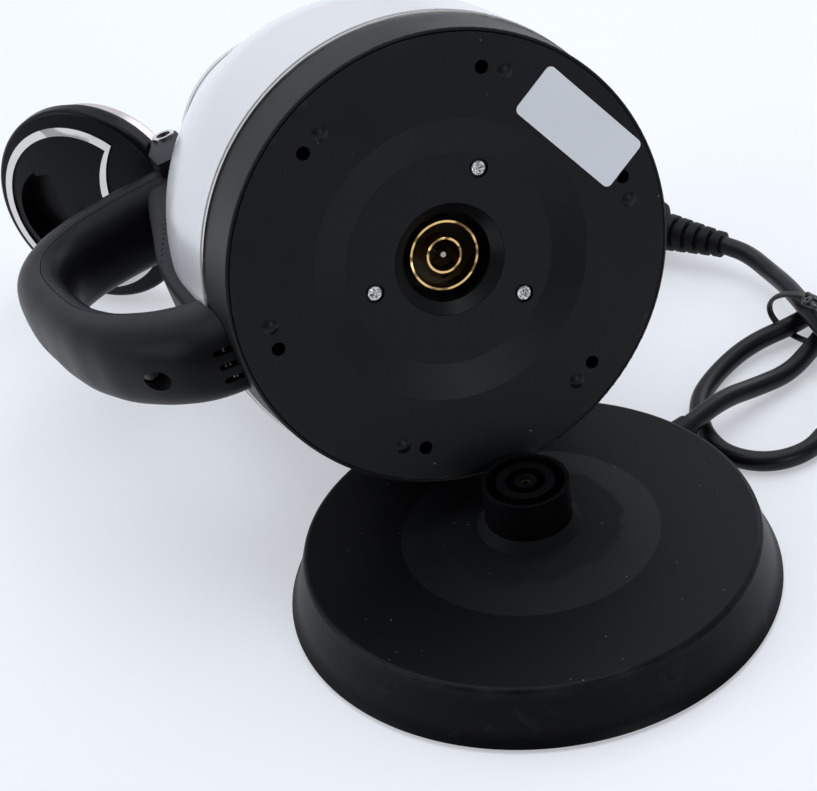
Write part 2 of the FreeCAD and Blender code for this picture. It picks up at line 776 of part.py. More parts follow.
def bottom_screws():
    screws = []
    for x, y in BOTTOM_SCREWS:
        screw = cross_head_screw(PLATE_SCREW_HEAD_R, SCREW_HEAD_H, SCREW_R, PLATE_T - PLATE_SCREW_POCKET + 2.2)
        screw.translate(Vector(x, y, RECESS_DEPTH + PLATE_SCREW_POCKET - SCREW_HEAD_H))
        screws.append(screw)
    return group(screws)


def rating_label():
    """Plain sticker on the bottom plate, with rounded corners."""
    sheet = slab(-LABEL_L / 2, LABEL_L / 2, -LABEL_W / 2, LABEL_W / 2, -LABEL_T, 0)
    upright = [e for e in sheet.Edges if abs(e.tangentAt(e.FirstParameter).z) > 0.9]
    sheet = sheet.makeFillet(LABEL_CORNER, upright)
    sheet.rotate(ORIGIN, AXIS, LABEL_TURN)
    sheet.translate(Vector(LABEL_X, LABEL_Y, 0))
    for x, y in around(PLATE_HOLE_COUNT, PLATE_HOLE_RING_R, PLATE_HOLE_TURN + NUB_TURN):
        sheet = sheet.cut(rod(NUB_R + 0.4, (x, y, -1), (x, y, 1)))
    return sheet


keep("skirt", skirt(), KETTLE)
keep("bottom_plate", bottom_plate(), KETTLE)
keep("bottom_screws", bottom_screws(), KETTLE)
keep("rating_label", rating_label(), KETTLE)
keep("steel_rim_ring", tube(RIM_R, POT_LOW_R + FIT, SKIRT_H, SHELL_LOW), KETTLE)


# Socket under the kettle: it drops over the post in any turn
WELL_R = POST_R + SOCKET_CLEAR
SOCKET_TOP = HEATER_Z
SOCKET_FLOOR = SOCKET_TOP - SOCKET_WALL


def connector_socket():
    flange = RECESS_DEPTH + PLATE_T
    socket = turned(
        (SOCKET_CHAMFER_R, RECESS_DEPTH), (SOCKET_CHAMFER_R, flange), (RECESS_IN_R, flange),
        (RECESS_IN_R, flange + 2.2), (WELL_R + SOCKET_WALL, flange + 2.2), (WELL_R + SOCKET_WALL, SOCKET_TOP),
        (0, SOCKET_TOP), (0, SOCKET_FLOOR), (WELL_R, SOCKET_FLOOR), (WELL_R, RECESS_DEPTH + SOCKET_CHAMFER))
    for x, y in BOTTOM_SCREWS:
        socket = socket.cut(rod(SCREW_R + 0.05, (x, y, flange), (x, y, flange + 2.2)))
    return socket


keep("connector_socket", connector_socket(), KETTLE)
keep("socket_outer_ring", tube(RING_OUT_R + RING_T / 2, RING_OUT_R - RING_T / 2, RING_TIP_Z, SOCKET_FLOOR), KETTLE)
keep("socket_inner_ring", tube(RING_IN_R + RING_T / 2, RING_IN_R - RING_T / 2, RING_TIP_Z, SOCKET_FLOOR), KETTLE)
pin = Part.makeCylinder(PIN_R, SOCKET_FLOOR - RING_TIP_Z - 1.0, AXIS * (RING_TIP_Z + 1.0))
keep("socket_earth_pin", pin, KETTLE)


# Pot, heater plate, element, thermostat with its snap disc
def outer_shell():
    outside = shell_steps(0, SHELL_LOW, SHELL_TOP_Z)
    inside = shell_steps(SHELL_T, SHELL_LOW, SHELL_TOP_Z)
    full = turned((0, SHELL_LOW), *outside, (0, SHELL_TOP_Z))
    core = turned((0, SHELL_LOW), *inside, (0, SHELL_TOP_Z))
    return full.cut(core).cut(SPOUT_HOLE)


def inner_pot():
    low = HEATER_Z + HEATER_T
    inside = shell_steps(POT_OUT + POT_T, low, POT_TOP_Z)
    form = turned((0, low), *shell_steps(POT_OUT, low, POT_TOP_Z), (0, POT_TOP_Z))
    pot = form.cut(turned((0, low), *inside, (0, POT_TOP_Z)))
    return pot.cut(SPOUT_BORE)


keep("outer_shell", outer_shell(), KETTLE)
keep("inner_pot", inner_pot(), KETTLE)
keep("heater_plate", Part.makeCylinder(POT_LOW_R, HEATER_T, AXIS * HEATER_Z), KETTLE)
element_z = HEATER_Z - ELEMENT_R - FIT
element = Part.makeTorus(ELEMENT_RING_R, ELEMENT_R, AXIS * element_z, AXIS, -180, 180, 320)
element.rotate(ORIGIN, AXIS, 200)
keep("heating_element", element, KETTLE)
THERMO_X = -(WELL_R + SOCKET_WALL + 2.0)
THERMO_L = 20.0
THERMO_HALF_W = 11.0
THERMO_H = 11.0
SNAP_R = 8.5
SNAP_T = 0.7
thermostat = slab(THERMO_X - THERMO_L, THERMO_X, -THERMO_HALF_W, THERMO_HALF_W,
                  HEATER_Z - SNAP_T - THERMO_H, HEATER_Z - SNAP_T)
keep("thermostat", thermostat, KETTLE)
snap_x = THERMO_X - THERMO_L / 2
keep("thermostat_snap_disc", rod(SNAP_R, (snap_x, 0, HEATER_Z - SNAP_T), (snap_x, 0, HEATER_Z)), KETTLE)


# Neck ring that the lid's seal comes down on
NECK_TOP = LID_Z - LID_RIM_DOWN - SEAL_T - RUN


def neck_ring():
    """Ring on top of the shell with a sleeve down to the pot's edge, cut away behind for the lid's hinge."""
    sleeve_low = shell_steps(SHELL_T + FIT, SHELL_LOW, POT_TOP_Z)[-1][0]
    sleeve_high = shell_steps(SHELL_T + FIT, SHELL_LOW, SHELL_TOP_Z)[-1][0]
    ring = turned(
        (NECK_BORE_R, POT_TOP_Z), (sleeve_low, POT_TOP_Z), (sleeve_high, SHELL_TOP_Z),
        (SHELL_TOP_R + 0.6, SHELL_TOP_Z), (SHELL_TOP_R + 0.6, NECK_TOP - 1.0),
        (SHELL_TOP_R - 0.4, NECK_TOP), (NECK_BORE_R, NECK_TOP))
    return ring.cut(cross_rod(BARREL_R + 3 * RUN, HINGE_X, HINGE_Z, LUG_HALF + RUN))


keep("neck_ring", neck_ring(), KETTLE)


# Handle: one hollow loop, split along a seam into an outer shell and an inner cover
def handle_frames(overrun):
    """Centre, inward normal and half sizes along the handle, carried past both ends by overrun."""
    line = Part.BSplineCurve()
    line.interpolate([Vector(x, 0, z) for x, z, thick, wide in HANDLE_LINE])
    frames = []
    count = len(HANDLE_LINE)
    for k in range(count - 1):
        near, far = HANDLE_LINE[k], HANDLE_LINE[k + 1]
        p0 = line.parameter(Vector(near[0], 0, near[1]))
        p1 = line.parameter(Vector(far[0], 0, far[1]))
        shares = (0.0, 0.34, 0.67) if k < count - 2 else (0.0, 0.34, 0.67, 1.0)
        for share in shares:
            at = p0 + share * (p1 - p0)
            way = line.tangent(at)[0]
            thick = near[2] + share * (far[2] - near[2])
            wide = near[3] + share * (far[3] - near[3])
            frames.append([line.value(at), Vector(way.z, 0, -way.x), thick, wide])
    frames[0][0] = frames[0][0] + Vector(overrun, 0, 0)
    frames[-1][0] = frames[-1][0] + Vector(overrun, 0, 0)
    return frames


def handle_loop(inset, overrun=0.0):
    sections = []
    for centre, inward, thick, wide in handle_frames(overrun):
        spots = []
        for k in range(16):
            a = 2 * math.pi * k / 16
            u = math.copysign(abs(math.cos(a)) ** (2 / HANDLE_SQUARE), math.cos(a)) * (thick - inset)
            v = math.copysign(abs(math.sin(a)) ** (2 / HANDLE_SQUARE), math.sin(a)) * (wide - inset)
            spots.append(centre + inward * u + Vector(0, v, 0))
        curve = Part.BSplineCurve()
        curve.interpolate(spots, PeriodicFlag=True)
        sections.append(Part.Wire(curve.toShape()))
    return Part.makeLoft(sections, True, False)


def seam_side(shift):
    """Solid on the inner side of the handle's seam."""
    sections = []
    for centre, inward, thick, wide in handle_frames(3.0):
        near = thick - HANDLE_COVER_DEPTH + shift
        far = thick + 2.0
        spots = []
        for u, v in ((near, -1), (far, -1), (far, 1), (near, 1), (near, -1)):
            spots.append(centre + inward * u + Vector(0, v * (wide + 4.0), 0))
        sections.append(Part.makePolygon(spots))
    return Part.makeLoft(sections, True, False)


HANDLE_FULL = handle_loop(0.0)
HANDLE_CORE = handle_loop(HANDLE_WALL, 2.0)
handle_skin = HANDLE_FULL.cut(HANDLE_CORE).cut(FULL)


def handle_outer_shell():
    """Outer half with the screw boss and the vent slots under the lower arm."""
    shell = handle_skin.cut(seam_side(-HANDLE_SEAM_GAP))
    boss = rod(HANDLE_POCKET_R + 2.0, (HANDLE_POCKET_X, 0, 0), (HANDLE_POCKET_X, 0, HANDLE_POCKET_Z + 2.4))
    shell = shell.fuse(boss.common(HANDLE_FULL))
    shell = shell.cut(rod(HANDLE_POCKET_R, (HANDLE_POCKET_X, 0, -5), (HANDLE_POCKET_X, 0, HANDLE_POCKET_Z)))
    shell = shell.cut(rod(HANDLE_SCREW_R + FIT, (HANDLE_POCKET_X, 0, 0), (HANDLE_POCKET_X, 0, HANDLE_POCKET_Z + 12)))
    vent_end = -(DISC_R + 1.0)
    for y in VENT_YS:
        vent = slab(vent_end - VENT_L, vent_end, y - VENT_W / 2, y + VENT_W / 2, -5, 14)
        for x in (vent_end - VENT_L, vent_end):
            vent = vent.fuse(rod(VENT_W / 2, (x, y, -5), (x, y, 14)))
        shell = shell.cut(vent)
    return shell


def switch_well(gap):
    """Slot through the inner cover for the switch lever, with room for its swing."""
    return slab(SWITCH_X - 6.0 - gap, SWITCH_X + 5.0 + gap, -SWITCH_HALF_W - gap, SWITCH_HALF_W + gap,
                SWITCH_Z - 8.0, SWITCH_Z + SWITCH_REACH)


def handle_inner_cover():
    cover = handle_skin.common(seam_side(0.0))
    return cover.cut(switch_well(RUN))


handle_outer = handle_outer_shell()
handle_inner = handle_inner_cover()
keep("handle_outer_shell", handle_outer, KETTLE)
keep("handle_inner_cover", handle_inner, KETTLE)
screw_head_h = 2.2
handle_screw = cross_head_screw(HANDLE_SCREW_HEAD_R, screw_head_h, HANDLE_SCREW_R, 6.0)
handle_screw.translate(Vector(HANDLE_POCKET_X, 0, HANDLE_POCKET_Z - screw_head_h))
keep("handle_screw", handle_screw, KETTLE)


# Spine between the lower arm and the upper arm, against the shell
SPINE_DEPTHS = ((24.0, 2.2), (54.0, 2.6), (90.0, 5.0), (120.0, 8.6), (150.0, 12.0), (163.0, 13.0))


def shell_radius(z):
    """Radius of the shell's outer face at a height, by its straight taper and wall."""
    return min(WALL_R, taper_r(z))


def handle_spine():
    front = [Vector(-(shell_radius(z) + deep), 0, z) for z, deep in SPINE_DEPTHS]
    curve = Part.BSplineCurve()
    curve.interpolate(front)
    first, last = front[0], front[-1]
    back_low = Vector(first.x + 16.0, 0, first.z)
    back_high = Vector(last.x + 16.0, 0, last.z)
    edges = [curve.toShape(), Part.LineSegment(last, back_high).toShape(),
             Part.LineSegment(back_high, back_low).toShape(), Part.LineSegment(back_low, first).toShape()]
    spine = plate_y(Part.Wire(edges), -SPINE_HALF_W, SPINE_HALF_W)
    rounded = []
    for edge in spine.Edges:
        ends = [v.Point for v in edge.Vertexes]
        if len(ends) == 2 and abs((ends[0] - ends[1]).z) > 100 and ends[0].x < back_low.x - 8:
            rounded.append(edge)
    spine = spine.makeFillet(SPINE_ROUND, rounded)
    return spine.cut(FULL).cut(handle_loop(-FIT))


keep("handle_spine", handle_spine(), KETTLE)


# Hinge yoke on top of the handle, its bright trims, and the hinge pin
def hinge_yoke():
    """Two ears with a bridge behind the neck; the lid's lug turns between the ears."""
    outline = wire_of((HINGE_X + EAR_R, HINGE_Z), [
        ((HINGE_X, HINGE_Z + EAR_R), (HINGE_X - EAR_R, HINGE_Z)),
        (HINGE_X - 10.0, HINGE_Z - 14.0), (HINGE_X - 10.0, HINGE_Z - 30.0),
        (HINGE_X + EAR_R, HINGE_Z - 30.0)])
    low_z = HINGE_Z - BARREL_R - 3 * RUN
    outer = LUG_HALF + RUN + EAR_T
    yoke = plate_y(outline, -outer, outer)
    yoke = yoke.cut(slab(HINGE_X - 30, HINGE_X + 30, -LUG_HALF - RUN, LUG_HALF + RUN, low_z - 2.0, HINGE_Z + 30))
    yoke = yoke.cut(cross_rod(HINGE_PIN_R + 0.05, HINGE_X, HINGE_Z, outer))
    neck = turned((0, SHELL_TOP_Z - 20), (SHELL_TOP_R + 0.6 + FIT, SHELL_TOP_Z - 20),
                  (SHELL_TOP_R + 0.6 + FIT, NECK_TOP + 0.2), (0, NECK_TOP + 0.2))
    return yoke.cut(FULL).cut(neck).cut(handle_loop(-FIT))


YOKE_OUT = LUG_HALF + RUN + EAR_T
keep("hinge_yoke", hinge_yoke(), KETTLE)
keep("hinge_pin", cross_rod(HINGE_PIN_R, HINGE_X, HINGE_Z, YOKE_OUT - 0.5), KETTLE)


def yoke_trims():
    """Bright hoop on the outside of each ear."""
    hoops = []
    for side in (-1, 1):
        hoop = Part.makeCylinder(EAR_R - 0.6, 0.8, Vector(HINGE_X, side * YOKE_OUT, HINGE_Z), Vector(0, side, 0))
        hoop = hoop.cut(Part.makeCylinder(EAR_R - 2.2, 0.8, Vector(HINGE_X, side * YOKE_OUT, HINGE_Z),
                                          Vector(0, side, 0)))
        hoops.append(hoop)
    return group(hoops)


keep("yoke_trims", yoke_trims(), KETTLE)


# Steam switch inside the lower arm and its lever, which rocks on a cross pin
def switch_lever():
    """Paddle above a round hub; it stands up out of the lower arm."""
    hub = cross_rod(4.0, SWITCH_X, SWITCH_Z, SWITCH_HALF_W)
    blade = plate_y(wire_of((SWITCH_X - 2.0, SWITCH_Z), [
        (SWITCH_X - 3.0, SWITCH_Z + SWITCH_REACH - 3.0),
        ((SWITCH_X - 1.5, SWITCH_Z + SWITCH_REACH), (SWITCH_X + 1.0, SWITCH_Z + SWITCH_REACH - 2.0)),
        (SWITCH_X + 2.5, SWITCH_Z)]), -SWITCH_HALF_W, SWITCH_HALF_W)
    lever = hub.fuse(blade).removeSplitter()
    return lever.cut(cross_rod(SWITCH_PIN_R + RUN, SWITCH_X, SWITCH_Z, SWITCH_HALF_W))


def steam_switch():
    """Block in the lower arm with two cheeks that hold the lever's pin."""
    top = SWITCH_Z + 3.0
    cheek_in = SWITCH_HALF_W + RUN
    cheek_out = cheek_in + 2.0
    block = slab(SWITCH_X - 5.0, SWITCH_X + 4.5, -cheek_out, cheek_out, SWITCH_Z - 10.0, top)
    block = block.cut(slab(SWITCH_X - 5.5, SWITCH_X + 5.0, -cheek_in, cheek_in, SWITCH_Z - 5.2, top + 1.0))
    block = block.cut(cross_rod(SWITCH_PIN_R + 0.05, SWITCH_X, SWITCH_Z, cheek_out))
    return block.common(handle_loop(HANDLE_WALL + FIT)).cut(FULL)


keep("switch_lever", switch_lever(), KETTLE)
keep("steam_switch", steam_switch(), KETTLE)
keep("switch_pin", cross_rod(SWITCH_PIN_R, SWITCH_X, SWITCH_Z, SWITCH_HALF_W + RUN + 1.2), KETTLE)


# Lid, drawn shut and swung open: cap with its finger grip, trim ring, pull bar, liner and seal
def dome_steps(lift):
    """Outline of the cap's upper side from its rim to its middle, raised by lift."""
    rim_top = LID_Z + LID_RIM_UP
    edge_r = LID_R - LID_SHOULDER
    edge_z = rim_top + LID_SHOULDER + lift
    crown_z = LID_Z + LID_DOME + lift
    rise = crown_z - edge_z
    ball_r = (edge_r ** 2 + rise ** 2) / (2 * rise)
    mid_turn = math.asin(edge_r / ball_r) / 2
    half = (ball_r * math.sin(mid_turn), crown_z - ball_r * (1 - math.cos(mid_turn)))
    shoulder = (LID_R - 0.3 * LID_SHOULDER, rim_top + 0.7 * LID_SHOULDER + lift)
    return [(LID_R, rim_top + lift), (shoulder, (edge_r, edge_z)), (half, (0.0, crown_z))]


def trim_prism(shrink):
    """Upright D-shaped solid: a round front and a hollowed side towards the hinge."""
    radius = TRIM_R - shrink
    corner_x = TRIM_CORNER_X + shrink
    rear_x = TRIM_REAR_X + shrink
    corner_y = math.sqrt(radius ** 2 - (corner_x - TRIM_SHIFT) ** 2)
    front = Part.Arc(Vector(corner_x, -corner_y, 0), Vector(TRIM_SHIFT + radius, 0, 0), Vector(corner_x, corner_y, 0))
    rear = Part.Arc(Vector(corner_x, corner_y, 0), Vector(rear_x, 0, 0), Vector(corner_x, -corner_y, 0))
    face = Part.Face(Part.Wire([front.toShape(), rear.toShape()]))
    face.translate(AXIS * (LID_Z - LID_PLUG_DOWN))
    return face.extrude(AXIS * (LID_DOME + LID_PLUG_DOWN + 10.0))


def grip_hollow():
    """Half-moon finger hollow and the slot that the pull bar stands in."""
    arc = Part.Arc(Vector(GRIP_CHORD, -GRIP_HALF, 0), Vector(GRIP_REACH, 0, 0), Vector(GRIP_CHORD, GRIP_HALF, 0))
    chord = Part.LineSegment(Vector(GRIP_CHORD, GRIP_HALF, 0), Vector(GRIP_CHORD, -GRIP_HALF, 0))
    face = Part.Face(Part.Wire([arc.toShape(), chord.toShape()]))
    face.translate(AXIS * (LID_Z - GRIP_FLOOR))
    hollow = face.extrude(AXIS * 30.0)
    slot = slab(GRIP_CHORD - BAR_SETBACK - BAR_W - 2.0, GRIP_CHORD, -GRIP_HALF + 1.5, GRIP_HALF - 1.5,
                LID_Z - GRIP_FLOOR, LID_Z + 30.0)
    return hollow.fuse(slot).removeSplitter()


def lid_form(lift):
    return turned((0, LID_Z - LID_PLUG_DOWN), (LID_PLUG_R, LID_Z - LID_PLUG_DOWN), (LID_PLUG_R, LID_Z + 0.5),
                  (LINER_R + FIT, LID_Z + 0.5), (LINER_R + FIT, LID_Z - LID_RIM_DOWN),
                  (LID_R, LID_Z - LID_RIM_DOWN), *dome_steps(lift))


def lid_cap():
    cap = lid_form(0.0)
    lug = slab(HINGE_X, -LINER_R - 0.6, -LUG_HALF, LUG_HALF, LID_Z - 0.7 * LID_RIM_DOWN, LID_Z + 0.7 * LID_RIM_UP)
    lug = lug.fuse(cross_rod(BARREL_R, HINGE_X, HINGE_Z, LUG_HALF))
    for side in (-1, 1):
        start = Vector(HINGE_X, side * (LUG_HALF - 1.0), HINGE_Z)
        cap = cap.cut(Part.makeCylinder(EAR_R + 3 * RUN, EAR_T + 1.0 + 3 * RUN, start, Vector(0, side, 0)))
    cap = cap.cut(grip_hollow()).fuse(lug)
    return cap.cut(cross_rod(HINGE_PIN_R + RUN, HINGE_X, HINGE_Z, LUG_HALF + 1.0)).removeSplitter()


cap = lid_cap()
keep("lid_cap", cap, LID)
trim_band = trim_prism(0.0).cut(trim_prism(TRIM_W))
keep("lid_trim_ring", lid_form(TRIM_T).cut(lid_form(0.0)).common(trim_band).cut(grip_hollow()), LID)
bar_in = GRIP_CHORD - BAR_SETBACK
bar = slab(bar_in - BAR_W, bar_in, -GRIP_HALF + 1.5, GRIP_HALF - 1.5, LID_Z - GRIP_FLOOR, LID_Z - GRIP_FLOOR + BAR_H)
keep("lid_pull_bar", bar, LID)


def lid_liner():
    """Pressed steel cup under the cap."""
    foot = LID_Z - LINER_DEPTH
    return turned((0, foot), (LINER_R - 2.0, foot), ((LINER_R - 0.6, foot + 0.6), (LINER_R, foot + 2.0)),
                  (LINER_R, LID_Z + 0.5), (LINER_R - LINER_T, LID_Z + 0.5), (LINER_R - LINER_T, foot + 2.0),
                  ((LINER_R - LINER_T - 0.5, foot + 1.2), (LINER_R - LINER_T - 1.7, foot + LINER_T)),
                  (0, foot + LINER_T))


keep("lid_liner", lid_liner(), LID)
keep("lid_seal", tube(SEAL_R, LINER_R + FIT, LID_Z - LID_RIM_DOWN - SEAL_T, LID_Z - LID_RIM_DOWN)
     .cut(cross_rod(BARREL_R + 2 * RUN, HINGE_X, HINGE_Z, LUG_HALF + EAR_T)), LID)

os.makedirs("parts", exist_ok=True)
for name, shape in NODES.items():
    solids = shape.Solids
    print("%-24s solids %d volume %10.1f valid %s" % (name, len(solids), shape.Volume, shape.isValid()))
    shape.exportStep("parts/%s.step" % name)
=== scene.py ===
import math
import bpy
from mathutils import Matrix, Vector


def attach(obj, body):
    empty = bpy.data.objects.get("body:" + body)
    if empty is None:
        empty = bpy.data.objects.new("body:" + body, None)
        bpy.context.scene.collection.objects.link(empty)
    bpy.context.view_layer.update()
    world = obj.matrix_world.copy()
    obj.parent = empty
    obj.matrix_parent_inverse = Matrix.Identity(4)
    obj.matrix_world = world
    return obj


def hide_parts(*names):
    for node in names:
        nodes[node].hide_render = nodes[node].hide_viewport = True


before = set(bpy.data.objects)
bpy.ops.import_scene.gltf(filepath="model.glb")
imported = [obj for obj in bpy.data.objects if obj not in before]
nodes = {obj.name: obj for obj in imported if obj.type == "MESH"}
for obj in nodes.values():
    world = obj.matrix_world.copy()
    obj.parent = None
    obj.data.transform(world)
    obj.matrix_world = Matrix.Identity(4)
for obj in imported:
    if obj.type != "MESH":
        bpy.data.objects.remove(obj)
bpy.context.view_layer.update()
bpy.ops.object.select_all(action="DESELECT")
bpy.context.scene.view_settings.view_transform = "Standard"


# Camera: it stands in front of the base and a little to its left, and looks down on the set.
# The lens is long, and the picture is rolled a few degrees.
camera_lens = bpy.data.cameras.new("camera")
camera_lens.sensor_width = 36.0
camera_lens.lens = 101.755
camera_lens.clip_end = 30.0
camera = bpy.data.objects.new("camera", camera_lens)
camera.location = (-0.19948, -0.54491, 0.48737)
camera.rotation_euler = (math.radians(54.6251), math.radians(6.3986), math.radians(-21.377))
bpy.context.scene.collection.objects.link(camera)
bpy.context.scene.camera = camera


# Table and light: a plain pale table top under broad soft panels, the largest overhead and weaker ones
# at the right, left and front, in a room that is pale behind the set and dim in front of it.
def wire(finish, kind, sockets, **options):
    """One node of a finish: its options are set, and each socket is linked or given its value."""
    node = finish.node_tree.nodes.new("ShaderNode" + kind)
    for option, value in options.items():
        setattr(node, option, value)
    for socket, value in sockets.items():
        if isinstance(value, bpy.types.NodeSocket):
            finish.node_tree.links.new(value, node.inputs[socket])
        else:
            node.inputs[socket].default_value = value
    return node


def feed(finish, node, socket, value):
    """Links a value to a socket of a node that the finish already has."""
    finish.node_tree.links.new(value, node.inputs[socket])


def noise(finish, spot, scale, detail, roughness=0.5, distortion=0.0):
    """Cloudy noise, mostly between 0.3 and 0.7."""
    cloud = wire(finish, "TexNoise", {"Vector": spot, "Scale": scale, "Detail": detail,
                                      "Roughness": roughness, "Distortion": distortion})
    return cloud.outputs["Fac"]


def ramp(finish, value, low, high, at_low=0.0, at_high=1.0):
    """A value between low and high becomes one between at_low and at_high."""
    slope = wire(finish, "MapRange", {"Value": value, "From Min": low, "From Max": high,
                                      "To Min": at_low, "To Max": at_high})
    return slope.outputs["Result"]


def sums(finish, operation, one, other, third=0.0):
    """The result of one sum on two or three values."""
    return wire(finish, "Math", {0: one, 1: other, 2: third}, operation=operation).outputs["Value"]


def times(finish, one, other):
    """One value or mask times another."""
    return sums(finish, "MULTIPLY", one, other)


def two_tone(finish, share, one, other):
    """A mix of two colours. The node's colour sockets share their names, so they go by number."""
    mix = wire(finish, "Mix", {0: share, 6: one, 7: other}, data_type="RGBA")
    return mix.outputs[2]


def new_finish(name, rough, specular=0.5, metal=0.0):
    """A bare finish with its plain sockets set, its shader, and its place on the piece."""
    finish = bpy.data.materials.new(name)
    finish.use_nodes = True
    shader = finish.node_tree.nodes["Principled BSDF"]
    shader.inputs["Roughness"].default_value = rough
    shader.inputs["Specular IOR Level"].default_value = specular
    shader.inputs["Metallic"].default_value = metal
    spot = wire(finish, "TexCoord", {}).outputs["Object"]
    return finish, shader, spot


table_width = 5.0
table_middle = (0.0, 1.7, 0.0)
glow_share = 0.42
bpy.ops.mesh.primitive_plane_add(size=table_width, location=table_middle)
table = bpy.context.object
table.name = "table"
bpy.ops.object.transform_apply(location=True, rotation=True, scale=True)
table_top, shader, spot = new_finish("pale_table_top", rough=0.75, specular=0.15)
mottle = noise(table_top, spot, scale=3.0, detail=3.0)
pale = two_tone(table_top, mottle, (0.86, 0.875, 0.915, 1), (0.90, 0.91, 0.945, 1))
feed(table_top, shader, "Base Color", pale)
seen = wire(table_top, "LightPath", {}).outputs
mirrored = sums(table_top, "ADD", seen["Is Camera Ray"], seen["Is Glossy Ray"])
shown = sums(table_top, "ADD", mirrored, seen["Is Transmission Ray"])
lifted = times(table_top, shown, glow_share)
glow = wire(table_top, "Emission", {"Color": (0.90, 0.92, 0.965, 1), "Strength": 1.0})
lit_top = wire(table_top, "MixShader", {0: lifted, 1: shader.outputs["BSDF"], 2: glow.outputs["Emission"]})
feed(table_top, table_top.node_tree.nodes["Material Output"], "Surface", lit_top.outputs["Shader"])
table.data.materials.append(table_top)


def soft_panel(name, place, aim, width, power):
    """A square soft light, slightly cool, that faces a point."""
    lamp = bpy.data.lights.new(name, "AREA")
    lamp.size = width
    lamp.energy = power
    lamp.color = (0.90, 0.945, 1.0)
    panel = bpy.data.objects.new(name, lamp)
    panel.location = place
    panel.rotation_euler = (Vector(aim) - Vector(place)).to_track_quat("-Z", "Y").to_euler()
    bpy.context.scene.collection.objects.link(panel)


soft_panel("panel_overhead", place=(0.05, 0.35, 1.5), aim=(0.0, 0.08, 0.0), width=1.6, power=15.0)
soft_panel("panel_right", place=(1.3, 0.9, 0.9), aim=(0.0, 0.1, 0.05), width=0.9, power=5.0)
soft_panel("panel_left", place=(-1.4, 0.3, 0.8), aim=(0.0, 0.1, 0.05), width=0.9, power=6.0)
soft_panel("panel_front", place=(0.45, -1.5, 0.75), aim=(0.0, 0.05, 0.1), width=0.6, power=4.5)
room = bpy.data.worlds.new("room")
room.use_nodes = True
room_light = room.node_tree.nodes["Background"]
room_light.inputs["Color"].default_value = (0.89, 0.93, 1.0, 1)
looking = wire(room, "TexCoord", {}).outputs["Generated"]
looking_back = wire(room, "SeparateXYZ", {"Vector": looking}).outputs["Y"]
room_strength = ramp(room, looking_back, low=-0.7, high=0.7, at_low=0.14, at_high=0.85)
feed(room, room_light, "Strength", room_strength)
bpy.context.scene.world = room


# Power base: a round shell moulded in black plastic with a fine grain. The dish in its top is painted a
# little paler, as painted light against the flat top round it, which lies in shade, and is dulled by
# handling round the post. Dust lies on it, its wall is scuffed, and its crease carries pale marks that are
# partly rubbing and partly a painted highlight.
# Its rings and edges are distances from its axis, in metres, over which a mask rises or falls.
def dress(finish, *names):
    """Puts a finish on the nodes of these pieces."""
    for name in names:
        for slot in nodes[name].material_slots:
            slot.material = finish


def vary_shine(finish, shader, cloud, smooth, dull):
    """Lets the roughness follow a cloud, over the range where most of the cloud lies."""
    feed(finish, shader, "Roughness", ramp(finish, cloud, 0.3, 0.7, smooth, dull))


def roughen(finish, shader, height, strength, distance):
    """Stands the surface up where the height is high."""
    bump = wire(finish, "Bump", {"Height": height, "Strength": strength, "Distance": distance})
    feed(finish, shader, "Normal", bump.outputs["Normal"])


def black_moulding(name, dark, pale, rough, grain=0.10, specular=0.3, spot_of=None):
    """Black injection moulding: faint clouding, satin that varies a little, and a fine grain."""
    finish, shader, spot = new_finish(name, rough, specular)
    if spot_of:
        spot = spot_of(finish, spot)
    cloud = noise(finish, spot, scale=26.0, detail=6.0, roughness=0.6)
    colour = two_tone(finish, cloud, dark, pale)
    feed(finish, shader, "Base Color", colour)
    vary_shine(finish, shader, cloud, rough - 0.05, rough + 0.06)
    roughen(finish, shader, noise(finish, spot, scale=1500.0, detail=2.0), grain, distance=0.0004)
    return finish, shader, spot, colour


def ring_distance(finish, spot):
    """How far a point is from the piece's upright axis."""
    flat = wire(finish, "VectorMath", {0: spot, 1: (1.0, 1.0, 0.0)}, operation="MULTIPLY")
    return wire(finish, "VectorMath", {0: flat.outputs["Vector"]}, operation="LENGTH").outputs["Value"]


def within(finish, value, full, end):
    """A mask that is whole up to one value, and falls to nothing at the next."""
    return ramp(finish, value, full, end, 1.0, 0.0)


def band(finish, value, start, full, end_full, end):
    """A mask that rises from start to full, and falls from end_full to end."""
    return times(finish, ramp(finish, value, start, full), within(finish, value, end_full, end))


def specks(finish, spot, cells, share, size):
    """A mask of small soft-edged dots: one in the middle of a share of the cells."""
    cell = wire(finish, "TexVoronoi", {"Vector": spot, "Scale": cells})
    draw = wire(finish, "SeparateColor", {"Color": cell.outputs["Color"]}).outputs["Red"]
    chosen = sums(finish, "GREATER_THAN", draw, 1.0 - share)
    solid_size = size * 0.6
    return times(finish, chosen, within(finish, cell.outputs["Distance"], solid_size, size))


def lay_over(finish, shader, under, mask, tint):
    """Mixes a colour over the one under it where the mask is, and returns the new colour."""
    over = two_tone(finish, mask, under, tint)
    feed(finish, shader, "Base Color", over)
    return over


